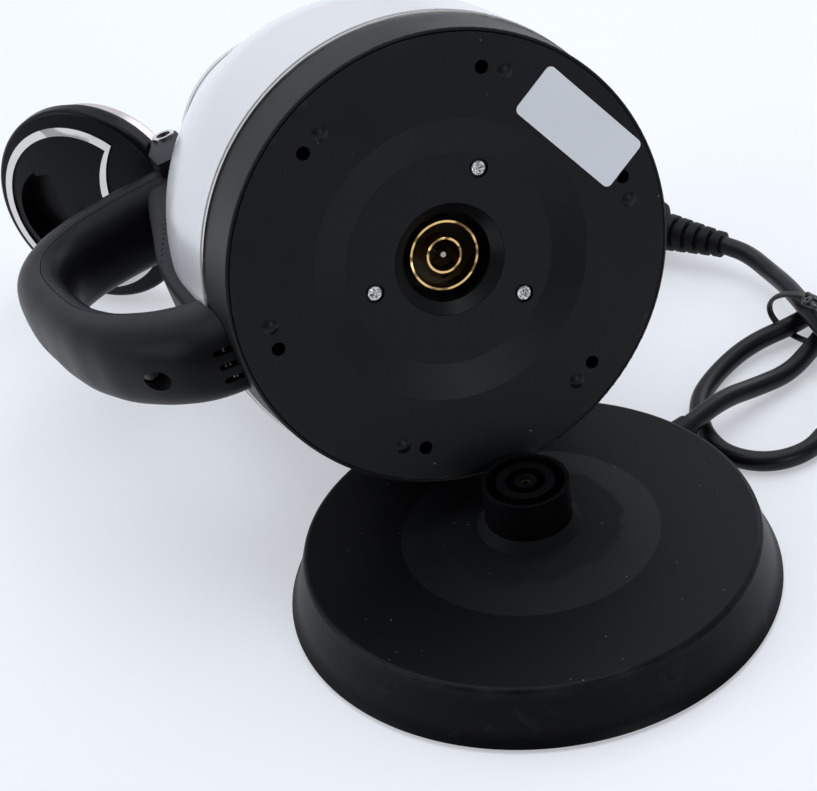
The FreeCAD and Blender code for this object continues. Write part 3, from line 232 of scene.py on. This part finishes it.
dish_edge = (0.0415, 0.0422)
handled_edge = (0.0365, 0.0395)
handled_wander = 0.018
wall_ring = (0.0744, 0.0752, 0.084, 0.085)
crease_ring = (0.0722, 0.0734, 0.0739, 0.0748)
flat_top_edge = (0.0725, 0.0735)
base_black, shader, spot, colour = black_moulding(
    "base_black", dark=(0.0012, 0.0013, 0.0020, 1), pale=(0.0022, 0.0024, 0.0034, 1),
    rough=0.40, grain=0.12, specular=0.10)
reach = ring_distance(base_black, spot)
# Painted light: the dish is painted paler than the flat top round it, which lies in shade.
dish_painted_light = within(base_black, reach, *dish_edge)
colour = lay_over(base_black, shader, colour, times(base_black, dish_painted_light, 0.7), (0.0062, 0.0066, 0.0092, 1))
wander = noise(base_black, spot, scale=55.0, detail=5.0, roughness=0.65)
ragged_reach = sums(base_black, "MULTIPLY_ADD", wander, handled_wander, reach)
handled = within(base_black, ragged_reach, *handled_edge)
colour = lay_over(base_black, shader, colour, times(base_black, handled, 0.7), (0.0016, 0.0017, 0.0022, 1))
handled_rough = ramp(base_black, handled, low=0.0, high=1.0, at_low=0.40, at_high=0.62)
feed(base_black, shader, "Roughness", handled_rough)
streaks = noise(base_black, spot, scale=30.0, detail=8.0, roughness=0.7, distortion=2.2)
scuffs = ramp(base_black, streaks, low=0.58, high=0.74)
wall = band(base_black, reach, *wall_ring)
colour = lay_over(base_black, shader, colour, times(base_black, scuffs, wall), (0.016, 0.017, 0.020, 1))
# The crease's pale rub marks are partly wear and partly a painted highlight along the crease.
rub_and_sheen = noise(base_black, spot, scale=95.0, detail=5.0, roughness=0.75)
rubbed_and_sheen = ramp(base_black, rub_and_sheen, low=0.30, high=0.80)
crease = band(base_black, reach, *crease_ring)
colour = lay_over(base_black, shader, colour, times(base_black, crease, rubbed_and_sheen), (0.014, 0.015, 0.017, 1))
flat_top = within(base_black, reach, *flat_top_edge)
dust = times(base_black, specks(base_black, spot, cells=290.0, share=0.22, size=0.085), flat_top)
lay_over(base_black, shader, colour, times(base_black, dust, 0.35), (0.32, 0.32, 0.33, 1))
dress(base_black, "base_top_shell")


# Underside of the base: a flat cover in the same plastic with a coarser grain, three zinc screws,
# and soft rubber pads pressed into it.
cover_black, *_ = black_moulding(
    "cover_black", dark=(0.004, 0.004, 0.005, 1), pale=(0.008, 0.008, 0.009, 1), rough=0.6, grain=0.3)
dress(cover_black, "base_bottom_cover")


def bare_metal(name, dark, pale, rough, scale, spread=0.08, stretch=(1.0, 1.0, 1.0)):
    """Plain metal with a tone and a shine that vary along its grain."""
    finish, shader, spot = new_finish(name, rough, metal=1.0)
    pulled = wire(finish, "Mapping", {"Vector": spot, "Scale": stretch}).outputs["Vector"]
    grain = noise(finish, pulled, scale, detail=4.0)
    feed(finish, shader, "Base Color", two_tone(finish, grain, dark, pale))
    vary_shine(finish, shader, grain, rough - spread, rough + spread)
    roughen(finish, shader, grain, strength=0.05, distance=0.0002)
    return finish, shader, spot


zinc, *_ = bare_metal(
    "zinc_plate", dark=(0.38, 0.38, 0.37, 1), pale=(0.62, 0.62, 0.60, 1), rough=0.34, scale=420.0)
dress(zinc, "base_screws")
pad_rubber, *_ = black_moulding(
    "pad_rubber", dark=(0.012, 0.012, 0.013, 1), pale=(0.022, 0.022, 0.023, 1),
    rough=0.8, grain=0.35, specular=0.25)
dress(pad_rubber, "base_feet")


# Connector post: a stepped black moulding that stands in the collar of the base. Brass sleeves
# for live, neutral and earth sit in its ring slots.
post_black, shader, spot, colour = black_moulding(
    "post_black", dark=(0.0010, 0.0010, 0.0014, 1), pale=(0.0022, 0.0022, 0.0030, 1),
    rough=0.34, grain=0.08, specular=0.12)
dust = specks(post_black, spot, cells=220.0, share=0.10, size=0.06)
lay_over(post_black, shader, colour, times(post_black, dust, 0.5), (0.25, 0.25, 0.26, 1))
dress(post_black, "connector_post")
dull_brass, *_ = bare_metal(
    "dull_brass", dark=(0.18, 0.13, 0.06, 1), pale=(0.36, 0.27, 0.12, 1), rough=0.38, scale=300.0)
dress(dull_brass, "post_live_contact", "post_neutral_contact", "post_earth_contact")


# Lead: a round black flexible cord, 7 mm thick. It leaves the base through a soft gland, lies on the table
# in two loose loops that a tie holds where they cross, and ends in its plug behind the kettle.
lead_thickness = 0.007
cord_route = (
    (0.0715, 0.0349, 0.0115), (0.0742, 0.0362, 0.0115), (0.0920, 0.0446, 0.0115), (0.1090, 0.0505, 0.0070),
    (0.1240, 0.0545, 0.0052), (0.1375, 0.0625, 0.0063), (0.1505, 0.0720, 0.0063), (0.1700, 0.0795, 0.0042),
    (0.1924, 0.0759, 0.0037), (0.2080, 0.0592, 0.0037), (0.2100, 0.0365, 0.0037), (0.1975, 0.0174, 0.0037),
    (0.1760, 0.0100, 0.0037), (0.1555, 0.0155, 0.0037), (0.1370, 0.0230, 0.0037), (0.1210, 0.0208, 0.0037),
    (0.1082, 0.0122, 0.0037), (0.0932, 0.0130, 0.0037), (0.0827, 0.0235, 0.0037), (0.0813, 0.0385, 0.0037),
    (0.0880, 0.0570, 0.0037), (0.1030, 0.0698, 0.0037), (0.1210, 0.0778, 0.0052), (0.1410, 0.0790, 0.0064),
    (0.1585, 0.0865, 0.0060), (0.1770, 0.0928, 0.0037), (0.2000, 0.0886, 0.0037), (0.2185, 0.0730, 0.0037),
    (0.2268, 0.0500, 0.0037), (0.2226, 0.0260, 0.0037), (0.2070, 0.0075, 0.0037), (0.1840, -0.0008, 0.0037),
    (0.1600, 0.0034, 0.0065), (0.1460, 0.0170, 0.0118), (0.1400, 0.0350, 0.0122), (0.1408, 0.0540, 0.0136),
    (0.1424, 0.0740, 0.0144), (0.1452, 0.0930, 0.0126), (0.1466, 0.1110, 0.0095), (0.1444, 0.1236, 0.0112),
    (0.1385, 0.1325, 0.0123), (0.1371, 0.1345, 0.0123))


def round_line(name, thickness, steps, round_steps):
    """An empty curve with a round section and closed ends."""
    line = bpy.data.curves.new(name, "CURVE")
    line.dimensions = "3D"
    line.resolution_u = steps
    line.bevel_depth = thickness / 2
    line.bevel_resolution = round_steps
    line.use_fill_caps = True
    return line


def add_run(line, places, order):
    """A smooth run of a curve, pulled by these places, from the first to the last."""
    run = line.splines.new("NURBS")
    run.points.add(len(places) - 1)
    for point, place in zip(run.points, places):
        point.co = (*place, 1.0)
    run.order_u = order
    run.use_endpoint_u = True


lead_line = round_line("mains_lead", lead_thickness, steps=10, round_steps=5)
add_run(lead_line, cord_route, order=3)
lead = bpy.data.objects.new("mains_lead", lead_line)
bpy.context.scene.collection.objects.link(lead)
lead_black, shader, spot, colour = black_moulding(
    "lead_black", dark=(0.0022, 0.0022, 0.0028, 1), pale=(0.0050, 0.0050, 0.0060, 1),
    rough=0.36, grain=0.06, specular=0.22)
lint = specks(lead_black, spot, cells=260.0, share=0.05, size=0.05)
lay_over(lead_black, shader, colour, times(lead_black, lint, 0.4), (0.25, 0.25, 0.26, 1))
lead_line.materials.append(lead_black)
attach(lead, "base")
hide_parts("power_cord")


# Gland, plug and its ribbed relief: soft black plastic moulded on the cord. Two nickel pins stand
# in the plug, and the relief keeps the cord from kinking where it enters.
soft_black, *_ = black_moulding(
    "soft_black", dark=(0.0018, 0.0018, 0.0024, 1), pale=(0.0045, 0.0045, 0.0055, 1),
    rough=0.48, grain=0.16, specular=0.14)
dress(soft_black, "cord_gland", "plug_relief", "plug_body")
nickel, *_ = bare_metal(
    "nickel_pin", dark=(0.52, 0.50, 0.46, 1), pale=(0.70, 0.68, 0.63, 1),
    rough=0.24, scale=260.0, spread=0.06, stretch=(1.0, 1.0, 8.0))
dress(nickel, "plug_pins")


# Tie: a black coated wire passed twice round the three strands where they cross. Its two ends are
# twisted together on top and splay at their tips.
tie_middle = Vector((0.1420, 0.0737, 0.0108))
tie_heading = math.radians(120.0)
tie_across = Vector((math.cos(tie_heading), math.sin(tie_heading), 0.0))
tie_through = Vector((-tie_across.y, tie_across.x, 0.0))
tie_up = Vector((0.0, 0.0, 1.0))
tie_thickness = 0.0016
hoop_half_width = 0.0162
hoop_half_height = 0.0101
hoop_drift = 0.0011
points_a_turn = 16
hoop_turns = 2
twist_way = (tie_across * -0.5 + tie_through * 0.7).normalized()
twist_foot = 0.0100
twist_radius = 0.0009
twist_turn = math.radians(75.0)
twist_step = 0.0013
twist_climb = 0.0004
twist_points = 10
splay_after = 6
splay_step = 0.0011

tie_line = round_line("cord_tie_wire", tie_thickness, steps=8, round_steps=3)
hoop = []
for k in range(points_a_turn * hoop_turns + 1):
    turn = math.radians(90.0 + 360.0 / points_a_turn * k)
    drift = hoop_drift * (k / points_a_turn - hoop_turns / 2)
    hoop.append(tie_middle + tie_across * (hoop_half_width * math.cos(turn))
                + tie_up * (hoop_half_height * math.sin(turn)) + tie_through * drift)
add_run(tie_line, hoop, order=4)
for side in (-1, 1):
    start = tie_middle + tie_up * twist_foot - tie_through * (hoop_drift * side)
    twist = []
    for k in range(twist_points):
        coil = side * twist_turn * k
        splay = side * splay_step * max(0, k - splay_after)
        twist.append(start + twist_way * (twist_step * k)
                     + tie_across * (twist_radius * math.cos(coil) + splay)
                     + tie_up * (twist_radius * math.sin(coil) + twist_climb * k))
    add_run(tie_line, twist, order=3)
tie = bpy.data.objects.new("cord_tie_wire", tie_line)
bpy.context.scene.collection.objects.link(tie)
bpy.ops.object.select_all(action="DESELECT")
tie.select_set(True)
bpy.context.view_layer.objects.active = tie
bpy.ops.object.convert(target="MESH")
tie = bpy.context.object
tie_black, *_ = black_moulding(
    "tie_black", dark=(0.008, 0.008, 0.009, 1), pale=(0.016, 0.016, 0.018, 1),
    rough=0.3, grain=0.05, specular=0.5)
tie.data.materials.append(tie_black)
bpy.ops.object.select_all(action="DESELECT")
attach(tie, "base")
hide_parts("cord_tie")


# Bottom of the kettle: a black plate moulded with a sunk ring round the socket, six round holes and six
# small bumps. Three bright zinc screws hold it. The sunk ring is painted darker as painted shade, dust
# gathers towards the rim, and the rim carries pale marks that are partly scuffs and partly a painted
# highlight on its edge.
# Its rings and edges are distances from the kettle's axis, in metres.
def on_kettle(finish, spot):
    """The lying kettle's own upright place, for patterns that run round or along its axis."""
    kettle_shift = (-0.014738, 0.110584, -0.006883)
    kettle_turn = (1.804302, 0.0, 0.171042)
    upright = wire(finish, "Mapping", {"Vector": spot, "Location": kettle_shift, "Rotation": kettle_turn})
    return upright.outputs["Vector"]


sunk_ring = (0.0335, 0.0345, 0.0448, 0.0456)
middle_edge = (0.0325, 0.0340)
rim_ring = (0.0695, 0.0722, 0.0732, 0.0736)
dusty_ring = (0.046, 0.066, 0.080, 0.090)
plate_black, shader, spot, colour = black_moulding(
    "plate_black", dark=(0.0020, 0.0026, 0.0036, 1), pale=(0.0042, 0.0052, 0.0068, 1),
    rough=0.40, grain=0.12, specular=0.22, spot_of=on_kettle)
reach = ring_distance(plate_black, spot)
# Painted shade: the sunk ring is painted darker, as the shade in the recess.
sunk_shade = band(plate_black, reach, *sunk_ring)
colour = lay_over(plate_black, shader, colour, times(plate_black, sunk_shade, 0.5), (0.0016, 0.0020, 0.0030, 1))
middle = within(plate_black, reach, *middle_edge)
colour = lay_over(plate_black, shader, colour, times(plate_black, middle, 0.5), (0.0046, 0.0056, 0.0074, 1))
# The rim's pale rub marks are partly scuffs and partly a painted highlight on its edge.
rub_and_sheen = noise(plate_black, spot, scale=110.0, detail=6.0, roughness=0.8)
rubbed_and_sheen = ramp(plate_black, rub_and_sheen, low=0.54, high=0.70)
rim = band(plate_black, reach, *rim_ring)
colour = lay_over(plate_black, shader, colour, times(plate_black, rim, rubbed_and_sheen), (0.030, 0.033, 0.036, 1))
dusty = band(plate_black, reach, *dusty_ring)
dust = times(plate_black, specks(plate_black, spot, cells=240.0, share=0.16, size=0.075), dusty)
lay_over(plate_black, shader, colour, times(plate_black, dust, 0.7), (0.30, 0.32, 0.33, 1))
dress(plate_black, "bottom_plate")
bright_zinc, shader, spot = bare_metal(
    "bright_zinc", dark=(0.30, 0.30, 0.30, 1), pale=(0.92, 0.92, 0.92, 1), rough=0.2, scale=700.0)
dents = noise(bright_zinc, spot, scale=620.0, detail=2.0)
roughen(bright_zinc, shader, dents, strength=0.8, distance=0.0016)
dress(bright_zinc, "bottom_screws")


# Rating plate: a rounded rectangle of silver-white film stuck on the bottom, left bare.
# The film is slightly uneven where the glue holds it.
def pale_skin(name, dark, pale, rough, specular, smooth, dull, scale, detail, ripple_scale, ripple):
    """A smooth pale surface: faint clouding, a shine that varies a little, and low ripples."""
    finish, shader, spot = new_finish(name, rough, specular)
    cloud = noise(finish, spot, scale, detail)
    feed(finish, shader, "Base Color", two_tone(finish, cloud, dark, pale))
    vary_shine(finish, shader, cloud, smooth, dull)
    roughen(finish, shader, noise(finish, spot, ripple_scale, detail=2.0), ripple, distance=0.0005)
    return finish


film = pale_skin(
    "silver_film", dark=(0.84, 0.85, 0.88, 1), pale=(0.90, 0.91, 0.94, 1), rough=0.34, specular=0.5,
    smooth=0.28, dull=0.42, scale=60.0, detail=4.0, ripple_scale=190.0, ripple=0.08)
dress(film, "rating_label")


# Socket: a black moulding with a sloped mouth, in the middle of the bottom plate. Two polished brass rings
# and a nickel earth pin stand in its well.
socket_black, *_ = black_moulding(
    "socket_black", dark=(0.0012, 0.0014, 0.0018, 1), pale=(0.0030, 0.0034, 0.0042, 1),
    rough=0.34, grain=0.06, specular=0.22, spot_of=on_kettle)
dress(socket_black, "connector_socket")
brass, shader, spot = bare_metal(
    "polished_brass", dark=(0.70, 0.42, 0.13, 1), pale=(0.95, 0.68, 0.32, 1),
    rough=0.16, scale=140.0, spread=0.05)
swell = noise(brass, spot, scale=110.0, detail=1.0)
roughen(brass, shader, swell, strength=0.4, distance=0.006)
dress(brass, "socket_outer_ring", "socket_inner_ring")
dress(nickel, "socket_earth_pin")


# Skirt and rim: a dark grey satin band round the foot of the kettle, and a thin bright steel ring
# between it and the shell.
skirt_grey, shader, spot, colour = black_moulding(
    "skirt_grey", dark=(0.0085, 0.0085, 0.0085, 1), pale=(0.0135, 0.0135, 0.0135, 1),
    rough=0.40, grain=0.10, specular=0.14, spot_of=on_kettle)
dust = specks(skirt_grey, spot, cells=180.0, share=0.08, size=0.05)
lay_over(skirt_grey, shader, colour, times(skirt_grey, dust, 0.4), (0.22, 0.22, 0.22, 1))
dress(skirt_grey, "skirt")
bright_steel, *_ = bare_metal(
    "bright_steel", dark=(0.58, 0.57, 0.55, 1), pale=(0.74, 0.73, 0.71, 1),
    rough=0.2, scale=300.0, spread=0.06)
dress(bright_steel, "steel_rim_ring")


# Shell and neck ring: a tapering plastic shell, glossy white, that stands off the pot inside it,
# and a ring of the same white round the pot's mouth.
white_gloss = pale_skin(
    "white_gloss", dark=(0.60, 0.595, 0.615, 1), pale=(0.64, 0.635, 0.655, 1), rough=0.2, specular=0.4,
    smooth=0.14, dull=0.24, scale=14.0, detail=3.0, ripple_scale=70.0, ripple=0.02)
dress(white_gloss, "outer_shell", "neck_ring")


# Pot, spout and heater: stainless steel, brushed on the pot, its heater plate and the pins of hinge and
# switch, and finer on the spout. The element is darkened by heat, and the thermostat is pressed brown resin.
pot_steel, *_ = bare_metal(
    "pot_steel", dark=(0.46, 0.45, 0.43, 1), pale=(0.60, 0.59, 0.57, 1),
    rough=0.3, scale=60.0, stretch=(1.0, 12.0, 1.0))
dress(pot_steel, "inner_pot", "heater_plate", "hinge_pin", "switch_pin")
spout_steel, *_ = bare_metal(
    "spout_steel", dark=(0.56, 0.55, 0.53, 1), pale=(0.62, 0.61, 0.59, 1),
    rough=0.24, scale=420.0, spread=0.03)
dress(spout_steel, "gooseneck_spout", "spout_collar")
heated_steel, *_ = bare_metal(
    "heated_steel", dark=(0.16, 0.14, 0.13, 1), pale=(0.34, 0.31, 0.28, 1), rough=0.5, scale=120.0)
dress(heated_steel, "heating_element", "thermostat_snap_disc")
pressed_brown, *_ = black_moulding(
    "pressed_brown", dark=(0.030, 0.018, 0.012, 1), pale=(0.050, 0.030, 0.020, 1), rough=0.55, grain=0.2)
dress(pressed_brown, "thermostat")


# Handle, hinge yoke and switch: satin black mouldings with a little dust. The handle is two shells that
# meet in a fine seam, with a zinc screw in a pocket.
handle_black, shader, spot, colour = black_moulding(
    "handle_black", dark=(0.0026, 0.0026, 0.0034, 1), pale=(0.0052, 0.0052, 0.0062, 1),
    rough=0.38, grain=0.08, specular=0.10, spot_of=on_kettle)
dust = specks(handle_black, spot, cells=170.0, share=0.05, size=0.05)
lay_over(handle_black, shader, colour, times(handle_black, dust, 0.4), (0.25, 0.25, 0.26, 1))
dress(handle_black, "handle_outer_shell", "handle_inner_cover", "hinge_yoke", "switch_lever",
      "steam_switch")
dress(zinc, "handle_screw")


# Spine: the black ridge that runs down the shell under the handle. A row of small dark dots, painted as the
# shade inside small pits, follows its edge, a little outside the shell's straight taper, which is measured
# from where it would meet the kettle's foot.
taper = 0.31
taper_reach_at_foot = 0.0978
pit_stand_off = 0.0022
pit_pitch = 0.0046
pit_edge = (0.0004, 0.0007)
pit_heights = (0.062, 0.064, 0.136, 0.138)
spine_black, shader, spot, colour = black_moulding(
    "spine_black", dark=(0.0160, 0.0160, 0.0175, 1), pale=(0.0210, 0.0210, 0.0230, 1),
    rough=0.46, grain=0.10, specular=0.06, spot_of=on_kettle)
ways = wire(spine_black, "SeparateXYZ", {"Vector": spot}).outputs
shell_reach = sums(spine_black, "MULTIPLY_ADD", ways["Z"], -taper, taper_reach_at_foot)
stand_off = sums(spine_black, "ADD", ways["X"], shell_reach)
side_step = sums(spine_black, "ADD", stand_off, pit_stand_off)
to_and_fro = sums(spine_black, "PINGPONG", ways["Z"], pit_pitch)
long_step = sums(spine_black, "SUBTRACT", to_and_fro, pit_pitch / 2)
off = wire(spine_black, "CombineXYZ", {"X": side_step, "Y": long_step}).outputs["Vector"]
apart = wire(spine_black, "VectorMath", {0: off}, operation="LENGTH").outputs["Value"]
pit_run = band(spine_black, ways["Z"], *pit_heights)
# Painted shade: the pits are only dark, rougher dots in the colour, painted as the shade inside small pits.
pit_shade = times(spine_black, within(spine_black, apart, *pit_edge), pit_run)
lay_over(spine_black, shader, colour, pit_shade, (0.0004, 0.0004, 0.0005, 1))
pitted_rough = ramp(spine_black, pit_shade, low=0.0, high=1.0, at_low=0.46, at_high=0.95)
feed(spine_black, shader, "Roughness", pitted_rough)
dress(spine_black, "handle_spine")


# Lid: a black cap with a bright D-shaped trim let into its top, a bar across the finger hollow, a pressed
# steel cup underneath, and a rubber ring that seals on the neck. The hinge's trims are plated alike.
lid_black, *_ = black_moulding(
    "lid_black", dark=(0.0022, 0.0022, 0.0030, 1), pale=(0.0044, 0.0044, 0.0054, 1),
    rough=0.30, grain=0.05, specular=0.12)
dress(lid_black, "lid_cap", "lid_pull_bar")
bright_plate, shader, spot = bare_metal(
    "bright_plate", dark=(0.58, 0.56, 0.54, 1), pale=(0.74, 0.72, 0.70, 1),
    rough=0.08, scale=90.0, spread=0.03)
swell = noise(bright_plate, spot, scale=38.0, detail=1.0)
roughen(bright_plate, shader, swell, strength=0.7, distance=0.012)
dress(bright_plate, "lid_trim_ring", "yoke_trims")
cup_steel, *_ = bare_metal(
    "cup_steel", dark=(0.56, 0.50, 0.49, 1), pale=(0.70, 0.64, 0.62, 1), rough=0.36, scale=90.0)
dress(cup_steel, "lid_liner")
seal_rubber, *_ = black_moulding(
    "seal_rubber", dark=(0.010, 0.010, 0.011, 1), pale=(0.018, 0.018, 0.019, 1), rough=0.65, grain=0.12)
dress(seal_rubber, "lid_seal")


# The view layer is brought up to date.
bpy.context.view_layer.update()
